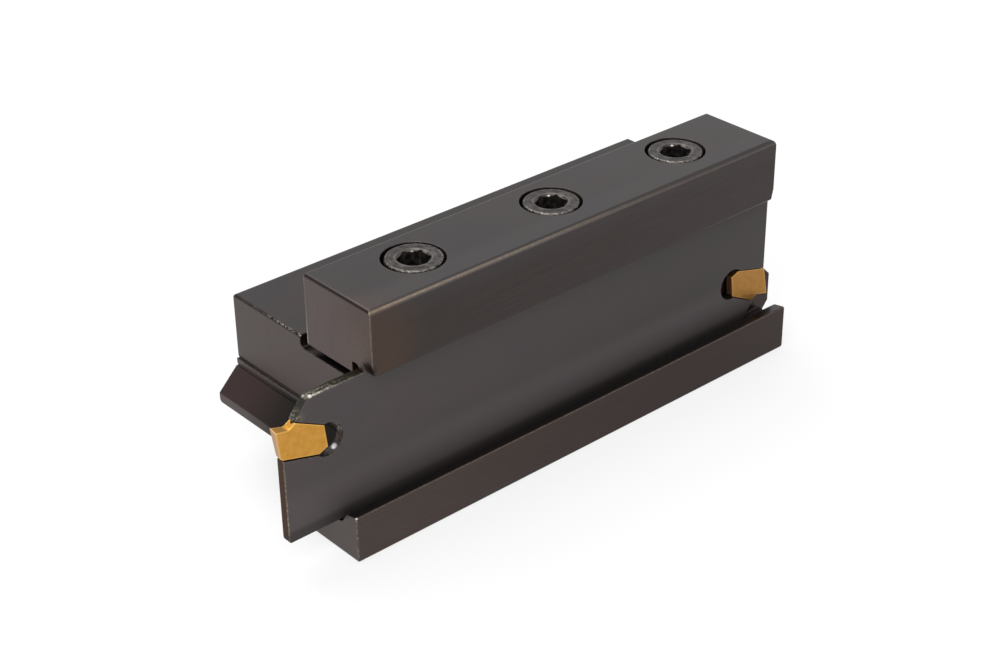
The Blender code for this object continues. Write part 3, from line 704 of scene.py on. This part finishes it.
pieceValues = dict(
    tool_block=dict(material=blockSteel, body="block", slot="block_steel", edge=0.14),
    clamp_bar=dict(material=clampSteel, body="clamp", slot="clamp_steel", edge=0.13),
    parting_blade=dict(material=bladeSteel, body="blade", slot="blade_steel", edge=0.07),
    insert_front=dict(material=frontCoating, body="blade", slot="coated_carbide", edge=0.06),
    insert_rear=dict(material=rearCoating, body="blade", slot="coated_carbide", edge=0.06),
)
edgeSegments = 3
scribeValues = dict(width=0.34, places=((46.4, 19.15), (46.75, 17.85)), middle=17, reach=50)


def scribeEnds(block, values):
    # two fine vee lines across each milled end, along the narrow band at its foot
    for end in (-1, 1):
        for out, height in values["places"]:
            deselectAll()
            bpy.ops.mesh.primitive_cube_add(
                size=1, location=(end * out * mm, values["middle"] * mm, height * mm),
                rotation=(0, math.radians(45), 0),
                scale=(values["width"] * mm, values["reach"] * mm, values["width"] * mm),
            )
            carve(block, bpy.context.object)


def handOver(piece, nodeName, values):
    piece.data.materials.clear()
    piece.data.materials.append(values["material"])
    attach(piece, values["body"])
    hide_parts(nodeName)
    print("dressed", nodeName, len(piece.data.polygons), "faces")


for nodeName, values in pieceValues.items():
    piece = refinedCopy(nodeName, "dressed_" + nodeName)
    if nodeName == "tool_block":
        scribeEnds(piece, scribeValues)
    roundEdges(piece, values["edge"], edgeSegments)
    smoothShade(piece)
    handOver(piece, nodeName, values)

# Socket head cap screws

screwValues = dict(
    nodes=("clamp_screw_1", "clamp_screw_2", "clamp_screw_3"),
    places=(-29.9, 0.0, 29.9), across=6.8, seat=37.35,  # the seat is under the heads
    shifts=((0.28, 0.20), (0.16, 0.14), (0.14, 0.10)),  # of each screw in its clearance, X and Y
    headRadius=4.88, headHeight=6.0, rim=0.4, rimSegments=4,
    knurls=56, knurlDepth=0.13, knurlFrom=0.5, knurlTo=5.2,
    socketWidth=5.0, socketDepth=3.0, socketRun=1.0,  # a run is how far a cutter passes the face
    mouthRadius=3.05, mouthDepth=0.32, mouthSlope=1.4, mouthRun=0.01, mouthSides=64,
    drillRadius=2.53, drillDepth=1.2, drillRun=0.2, drillSides=48,  # the cone's radius at its top
    threadRadius=3.0, threadDepth=0.55, pitch=1.0, length=20.0, threadSides=32,
    neck=0.3,  # of the thread, inside the head
    spare=2.0,  # of thread past the tip, before it is cut to length
    tip=1.4, tipSides=48, blankWider=0.2, blankLonger=0.5, blankTop=1.0,
    edge=0.05, edgeSegments=2, edgeSharp=40, smooth=30,
)


def makeHead(values):
    radius, height = values["headRadius"], values["headHeight"]
    head = turnedBar(radius, 0, height, values["knurls"] * 2)
    head.name = "screwHead"
    editPiece(head, "EDGE")
    rimLow = height - fineValues["near"]
    pick(head, "edges", lambda edge: all(vertex.co.z > rimLow * mm for vertex in edge.verts))
    bpy.ops.mesh.bevel(offset=values["rim"] * mm, segments=values["rimSegments"], profile=0.5)
    leaveEdit()
    levels = (values["knurlFrom"], values["knurlTo"])
    for level in levels:
        slicePiece(head, (0, 0, level), (0, 0, 1))
    step = math.pi / values["knurls"]

    def isFlute(vertex):
        turn = round(math.atan2(vertex.co.x, vertex.co.y) / step)
        offLevel = min(abs(vertex.co.z / mm - level) for level in levels)
        return turn % 2 == 0 and offLevel < fineValues["near"]

    editPiece(head, "VERT")
    pick(head, "verts", isFlute)
    share = 1 - values["knurlDepth"] / radius
    bpy.ops.transform.resize(value=(share, share, 1), center_override=(0, 0, 0))
    leaveEdit()
    floor = height - values["socketDepth"]
    carve(head, turnedBar(values["socketWidth"] / math.sqrt(3), floor, height + values["socketRun"], 6))
    innerRadius = values["mouthRadius"] - values["mouthSlope"] * values["mouthDepth"]
    carve(head, turnedBar(
        innerRadius, height - values["mouthDepth"], height + values["mouthRun"],
        values["mouthSides"], values["mouthRadius"],
    ))
    carve(head, turnedBar(
        0, floor - values["drillDepth"], floor + values["drillRun"],
        values["drillSides"], values["drillRadius"],
    ))
    return head


def makeThread(values):
    # one upright edge, bent to a thread's tooth and wound up the axis
    pitch, length = values["pitch"], values["length"]
    radius, depth = values["threadRadius"], values["threadDepth"]
    low = -length - values["spare"]
    tooth = (0, 0, 1 / 3, 2 / 3, 1, 1, 2 / 3, 1 / 3, 0)  # its height over one pitch, as shares
    cuts = len(tooth) - 2
    turns = int(length / pitch) + 3  # past both ends, which are cut off
    deselectAll()
    bpy.ops.mesh.primitive_plane_add(size=pitch * mm, rotation=(math.radians(90), 0, 0))
    thread = bpy.context.object
    thread.name = "screwThread"
    settleOrigin(thread)
    editPiece(thread, "VERT")
    pick(thread, "verts", lambda vertex: vertex.co.x < 0)
    bpy.ops.mesh.delete(type="VERT")
    bpy.ops.mesh.select_all(action="SELECT")
    bpy.ops.mesh.subdivide(number_cuts=cuts)
    start = Vector((radius - depth - pitch / 2, 0, pitch / 2 + low)) * mm
    bpy.ops.transform.translate(value=start)
    for index, share in enumerate(tooth):
        level = (index / (cuts + 1) * pitch + low) * mm
        bpy.ops.mesh.select_all(action="DESELECT")
        pick(thread, "verts", lambda vertex: abs(vertex.co.z - level) < fineValues["near"] * mm)
        bpy.ops.transform.translate(value=(share * depth * mm, 0, 0))
    leaveEdit()
    addModifier(
        thread, "SCREW", angle=math.radians(360), screw_offset=pitch * mm,
        iterations=turns, steps=values["threadSides"], render_steps=values["threadSides"],
        use_normal_calculate=True,
    )
    editPiece(thread)
    bpy.ops.mesh.select_all(action="SELECT")
    bpy.ops.mesh.remove_doubles(threshold=fineValues["merge"] * mm)
    leaveEdit()
    slicePiece(thread, (0, 0, values["neck"]), (0, 0, 1), True)
    slicePiece(thread, (0, 0, -length), (0, 0, -1), True)
    editPiece(thread)
    bpy.ops.mesh.select_all(action="SELECT")
    bpy.ops.mesh.normals_make_consistent(inside=False)
    leaveEdit()
    # a bevelled blank, wider and longer than the thread, gives its tip
    foot = -length - values["blankLonger"]
    blank = turnedBar(radius + values["blankWider"], foot, values["blankTop"], values["tipSides"])
    editPiece(blank, "EDGE")
    footHigh = foot + fineValues["near"]
    pick(blank, "edges", lambda edge: all(vertex.co.z < footHigh * mm for vertex in edge.verts))
    bpy.ops.mesh.bevel(offset=values["tip"] * mm, segments=1)
    leaveEdit()
    carve(thread, blank, "INTERSECT")
    return thread


screwHead = makeHead(screwValues)
carve(screwHead, makeThread(screwValues), "UNION")
roundEdges(screwHead, screwValues["edge"], screwValues["edgeSegments"], screwValues["edgeSharp"])
for index, nodeName in enumerate(screwValues["nodes"]):
    piece = bpy.data.objects.new("dressed_" + nodeName, screwHead.data.copy())
    bpy.context.scene.collection.objects.link(piece)
    along, across = screwValues["shifts"][index]
    axis = (screwValues["places"][index] + along, screwValues["across"] + across, screwValues["seat"])
    piece.location = Vector(axis) * mm
    settleOrigin(piece)
    smoothShade(piece, screwValues["smooth"])
    handOver(
        piece, nodeName, dict(material=screwSteel, body="screw_%d" % (index + 1), slot="screw_steel"),
    )
bpy.data.objects.remove(screwHead)
